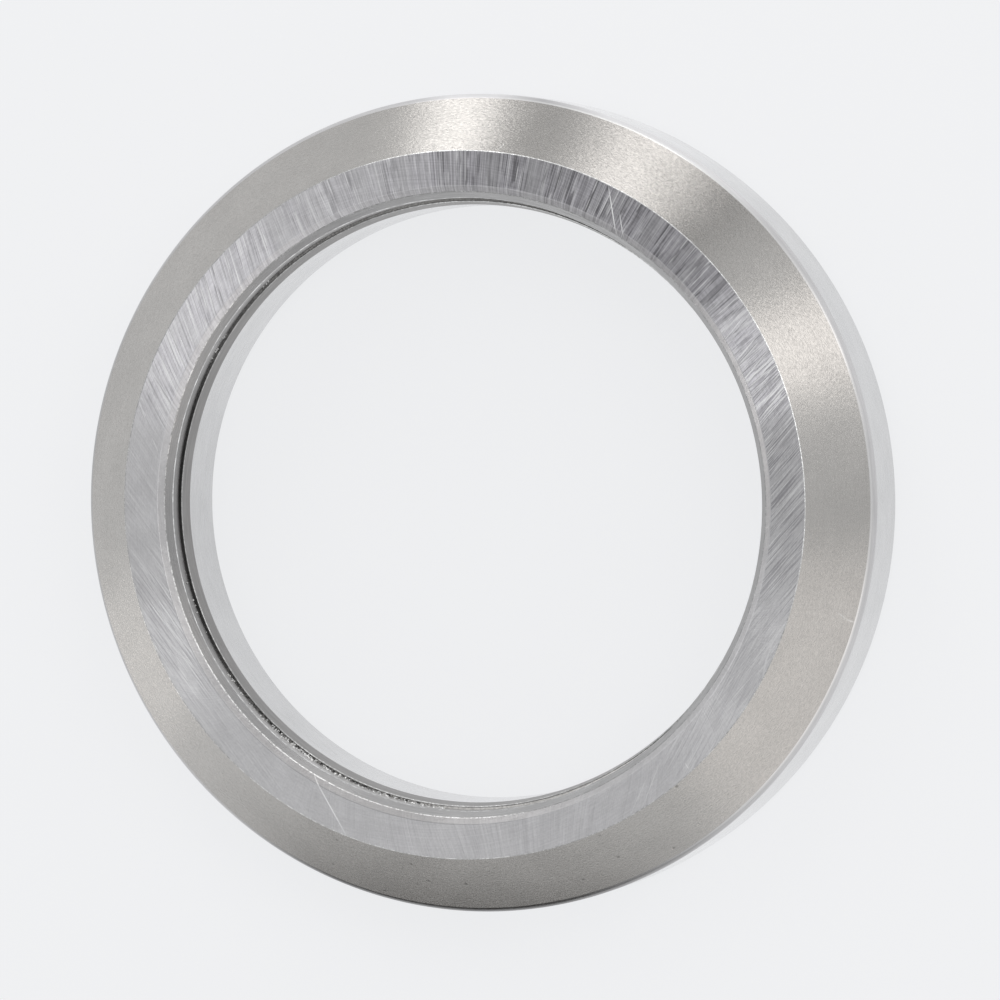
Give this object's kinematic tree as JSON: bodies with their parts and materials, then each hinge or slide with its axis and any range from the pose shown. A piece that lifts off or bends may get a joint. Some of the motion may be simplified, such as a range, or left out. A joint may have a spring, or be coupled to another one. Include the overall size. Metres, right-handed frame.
{
  "type": "headset bearing",
  "caption": "Angular-contact ring bearing with a 45 degree outer cone in front, a 45 degree bore cone behind, and a caged row of balls; it carries a fork's steerer in a head tube.",
  "frame": {"origin": "centre of the inner ring's rear face, which the bearing lies on", "axes": "+Z is the axis, towards the front face with the wide outer cone; X and Y are free, and the first ball is on +X"},
  "size_m": [0.0418, 0.0418, 0.008],
  "materials": {
    "ring_steel": "blasted cone and ground front face",
    "inner_steel": "fine turned",
    "cage_nylon": "moulded",
    "ball_steel": "polished"
  },
  "bodies": {
    "outer": {"outer_ring": "ring_steel"},
    "inner": {"inner_ring": "inner_steel"},
    "cage": {"cage": "cage_nylon"},
    "ball_01": {"ball_01": "ball_steel"},
    "ball_02": {"ball_02": "ball_steel"},
    "ball_03": {"ball_03": "ball_steel"},
    "ball_04": {"ball_04": "ball_steel"},
    "ball_05": {"ball_05": "ball_steel"},
    "ball_06": {"ball_06": "ball_steel"},
    "ball_07": {"ball_07": "ball_steel"},
    "ball_08": {"ball_08": "ball_steel"},
    "ball_09": {"ball_09": "ball_steel"},
    "ball_10": {"ball_10": "ball_steel"},
    "ball_11": {"ball_11": "ball_steel"},
    "ball_12": {"ball_12": "ball_steel"},
    "ball_13": {"ball_13": "ball_steel"},
    "ball_14": {"ball_14": "ball_steel"},
    "ball_15": {"ball_15": "ball_steel"},
    "ball_16": {"ball_16": "ball_steel"},
    "ball_17": {"ball_17": "ball_steel"},
    "ball_18": {"ball_18": "ball_steel"},
    "ball_19": {"ball_19": "ball_steel"},
    "ball_20": {"ball_20": "ball_steel"},
    "ball_21": {"ball_21": "ball_steel"},
    "ball_22": {"ball_22": "ball_steel"},
    "ball_23": {"ball_23": "ball_steel"},
    "ball_24": {"ball_24": "ball_steel"},
    "ball_25": {"ball_25": "ball_steel"},
    "ball_26": {"ball_26": "ball_steel"},
    "ball_27": {"ball_27": "ball_steel"},
    "ball_28": {"ball_28": "ball_steel"}
  },
  "joints": [
    {"name": "inner_spin", "type": "hinge", "parent": "outer", "child": "inner", "pos_m": [0, 0, 0.004], "axis": [0, 0, 1], "continuous": true},
    {"name": "cage_orbit", "type": "hinge", "parent": "outer", "child": "cage", "pos_m": [0, 0, 0.004], "axis": [0, 0, 1], "continuous": true},
    {"name": "ball_01_roll", "type": "hinge", "parent": "cage", "child": "ball_01", "pos_m": [0.01808, 0, 0.004], "axis": [-0.7071, 0, 0.7071], "continuous": true},
    {"name": "ball_02_roll", "type": "hinge", "parent": "cage", "child": "ball_02", "pos_m": [0.01762, 0.00402, 0.004], "axis": [-0.6894, -0.1573, 0.7071], "continuous": true},
    {"name": "ball_03_roll", "type": "hinge", "parent": "cage", "child": "ball_03", "pos_m": [0.01629, 0.00784, 0.004], "axis": [-0.6371, -0.3068, 0.7071], "continuous": true},
    {"name": "ball_04_roll", "type": "hinge", "parent": "cage", "child": "ball_04", "pos_m": [0.01413, 0.01127, 0.004], "axis": [-0.5528, -0.4409, 0.7071], "continuous": true},
    {"name": "ball_05_roll", "type": "hinge", "parent": "cage", "child": "ball_05", "pos_m": [0.01127, 0.01413, 0.004], "axis": [-0.4409, -0.5528, 0.7071], "continuous": true},
    {"name": "ball_06_roll", "type": "hinge", "parent": "cage", "child": "ball_06", "pos_m": [0.00784, 0.01629, 0.004], "axis": [-0.3068, -0.6371, 0.7071], "continuous": true},
    {"name": "ball_07_roll", "type": "hinge", "parent": "cage", "child": "ball_07", "pos_m": [0.00402, 0.01762, 0.004], "axis": [-0.1573, -0.6894, 0.7071], "continuous": true},
    {"name": "ball_08_roll", "type": "hinge", "parent": "cage", "child": "ball_08", "pos_m": [0, 0.01808, 0.004], "axis": [0, -0.7071, 0.7071], "continuous": true},
    {"name": "ball_09_roll", "type": "hinge", "parent": "cage", "child": "ball_09", "pos_m": [-0.00402, 0.01762, 0.004], "axis": [0.1573, -0.6894, 0.7071], "continuous": true},
    {"name": "ball_10_roll", "type": "hinge", "parent": "cage", "child": "ball_10", "pos_m": [-0.00784, 0.01629, 0.004], "axis": [0.3068, -0.6371, 0.7071], "continuous": true},
    {"name": "ball_11_roll", "type": "hinge", "parent": "cage", "child": "ball_11", "pos_m": [-0.01127, 0.01413, 0.004], "axis": [0.4409, -0.5528, 0.7071], "continuous": true},
    {"name": "ball_12_roll", "type": "hinge", "parent": "cage", "child": "ball_12", "pos_m": [-0.01413, 0.01127, 0.004], "axis": [0.5528, -0.4409, 0.7071], "continuous": true},
    {"name": "ball_13_roll", "type": "hinge", "parent": "cage", "child": "ball_13", "pos_m": [-0.01629, 0.00784, 0.004], "axis": [0.6371, -0.3068, 0.7071], "continuous": true},
    {"name": "ball_14_roll", "type": "hinge", "parent": "cage", "child": "ball_14", "pos_m": [-0.01762, 0.00402, 0.004], "axis": [0.6894, -0.1573, 0.7071], "continuous": true},
    {"name": "ball_15_roll", "type": "hinge", "parent": "cage", "child": "ball_15", "pos_m": [-0.01808, 0, 0.004], "axis": [0.7071, 0, 0.7071], "continuous": true},
    {"name": "ball_16_roll", "type": "hinge", "parent": "cage", "child": "ball_16", "pos_m": [-0.01762, -0.00402, 0.004], "axis": [0.6894, 0.1573, 0.7071], "continuous": true},
    {"name": "ball_17_roll", "type": "hinge", "parent": "cage", "child": "ball_17", "pos_m": [-0.01629, -0.00784, 0.004], "axis": [0.6371, 0.3068, 0.7071], "continuous": true},
    {"name": "ball_18_roll", "type": "hinge", "parent": "cage", "child": "ball_18", "pos_m": [-0.01413, -0.01127, 0.004], "axis": [0.5528, 0.4409, 0.7071], "continuous": true},
    {"name": "ball_19_roll", "type": "hinge", "parent": "cage", "child": "ball_19", "pos_m": [-0.01127, -0.01413, 0.004], "axis": [0.4409, 0.5528, 0.7071], "continuous": true},
    {"name": "ball_20_roll", "type": "hinge", "parent": "cage", "child": "ball_20", "pos_m": [-0.00784, -0.01629, 0.004], "axis": [0.3068, 0.6371, 0.7071], "continuous": true},
    {"name": "ball_21_roll", "type": "hinge", "parent": "cage", "child": "ball_21", "pos_m": [-0.00402, -0.01762, 0.004], "axis": [0.1573, 0.6894, 0.7071], "continuous": true},
    {"name": "ball_22_roll", "type": "hinge", "parent": "cage", "child": "ball_22", "pos_m": [0, -0.01808, 0.004], "axis": [0, 0.7071, 0.7071], "continuous": true},
    {"name": "ball_23_roll", "type": "hinge", "parent": "cage", "child": "ball_23", "pos_m": [0.00402, -0.01762, 0.004], "axis": [-0.1573, 0.6894, 0.7071], "continuous": true},
    {"name": "ball_24_roll", "type": "hinge", "parent": "cage", "child": "ball_24", "pos_m": [0.00784, -0.01629, 0.004], "axis": [-0.3068, 0.6371, 0.7071], "continuous": true},
    {"name": "ball_25_roll", "type": "hinge", "parent": "cage", "child": "ball_25", "pos_m": [0.01127, -0.01413, 0.004], "axis": [-0.4409, 0.5528, 0.7071], "continuous": true},
    {"name": "ball_26_roll", "type": "hinge", "parent": "cage", "child": "ball_26", "pos_m": [0.01413, -0.01127, 0.004], "axis": [-0.5528, 0.4409, 0.7071], "continuous": true},
    {"name": "ball_27_roll", "type": "hinge", "parent": "cage", "child": "ball_27", "pos_m": [0.01629, -0.00784, 0.004], "axis": [-0.6371, 0.3068, 0.7071], "continuous": true},
    {"name": "ball_28_roll", "type": "hinge", "parent": "cage", "child": "ball_28", "pos_m": [0.01762, -0.00402, 0.004], "axis": [-0.6894, 0.1573, 0.7071], "continuous": true}
  ],
  "couplings": [
    {"joint": "cage_orbit", "follows": "inner_spin", "ratio": 0.46895},
    {"joint": "ball_01_roll", "follows": "inner_spin", "ratio": -5.671},
    {"joint": "ball_02_roll", "follows": "inner_spin", "ratio": -5.671},
    {"joint": "ball_03_roll", "follows": "inner_spin", "ratio": -5.671},
    {"joint": "ball_04_roll", "follows": "inner_spin", "ratio": -5.671},
    {"joint": "ball_05_roll", "follows": "inner_spin", "ratio": -5.671},
    {"joint": "ball_06_roll", "follows": "inner_spin", "ratio": -5.671},
    {"joint": "ball_07_roll", "follows": "inner_spin", "ratio": -5.671},
    {"joint": "ball_08_roll", "follows": "inner_spin", "ratio": -5.671},
    {"joint": "ball_09_roll", "follows": "inner_spin", "ratio": -5.671},
    {"joint": "ball_10_roll", "follows": "inner_spin", "ratio": -5.671},
    {"joint": "ball_11_roll", "follows": "inner_spin", "ratio": -5.671},
    {"joint": "ball_12_roll", "follows": "inner_spin", "ratio": -5.671},
    {"joint": "ball_13_roll", "follows": "inner_spin", "ratio": -5.671},
    {"joint": "ball_14_roll", "follows": "inner_spin", "ratio": -5.671},
    {"joint": "ball_15_roll", "follows": "inner_spin", "ratio": -5.671},
    {"joint": "ball_16_roll", "follows": "inner_spin", "ratio": -5.671},
    {"joint": "ball_17_roll", "follows": "inner_spin", "ratio": -5.671},
    {"joint": "ball_18_roll", "follows": "inner_spin", "ratio": -5.671},
    {"joint": "ball_19_roll", "follows": "inner_spin", "ratio": -5.671},
    {"joint": "ball_20_roll", "follows": "inner_spin", "ratio": -5.671},
    {"joint": "ball_21_roll", "follows": "inner_spin", "ratio": -5.671},
    {"joint": "ball_22_roll", "follows": "inner_spin", "ratio": -5.671},
    {"joint": "ball_23_roll", "follows": "inner_spin", "ratio": -5.671},
    {"joint": "ball_24_roll", "follows": "inner_spin", "ratio": -5.671},
    {"joint": "ball_25_roll", "follows": "inner_spin", "ratio": -5.671},
    {"joint": "ball_26_roll", "follows": "inner_spin", "ratio": -5.671},
    {"joint": "ball_27_roll", "follows": "inner_spin", "ratio": -5.671},
    {"joint": "ball_28_roll", "follows": "inner_spin", "ratio": -5.671}
  ]
}
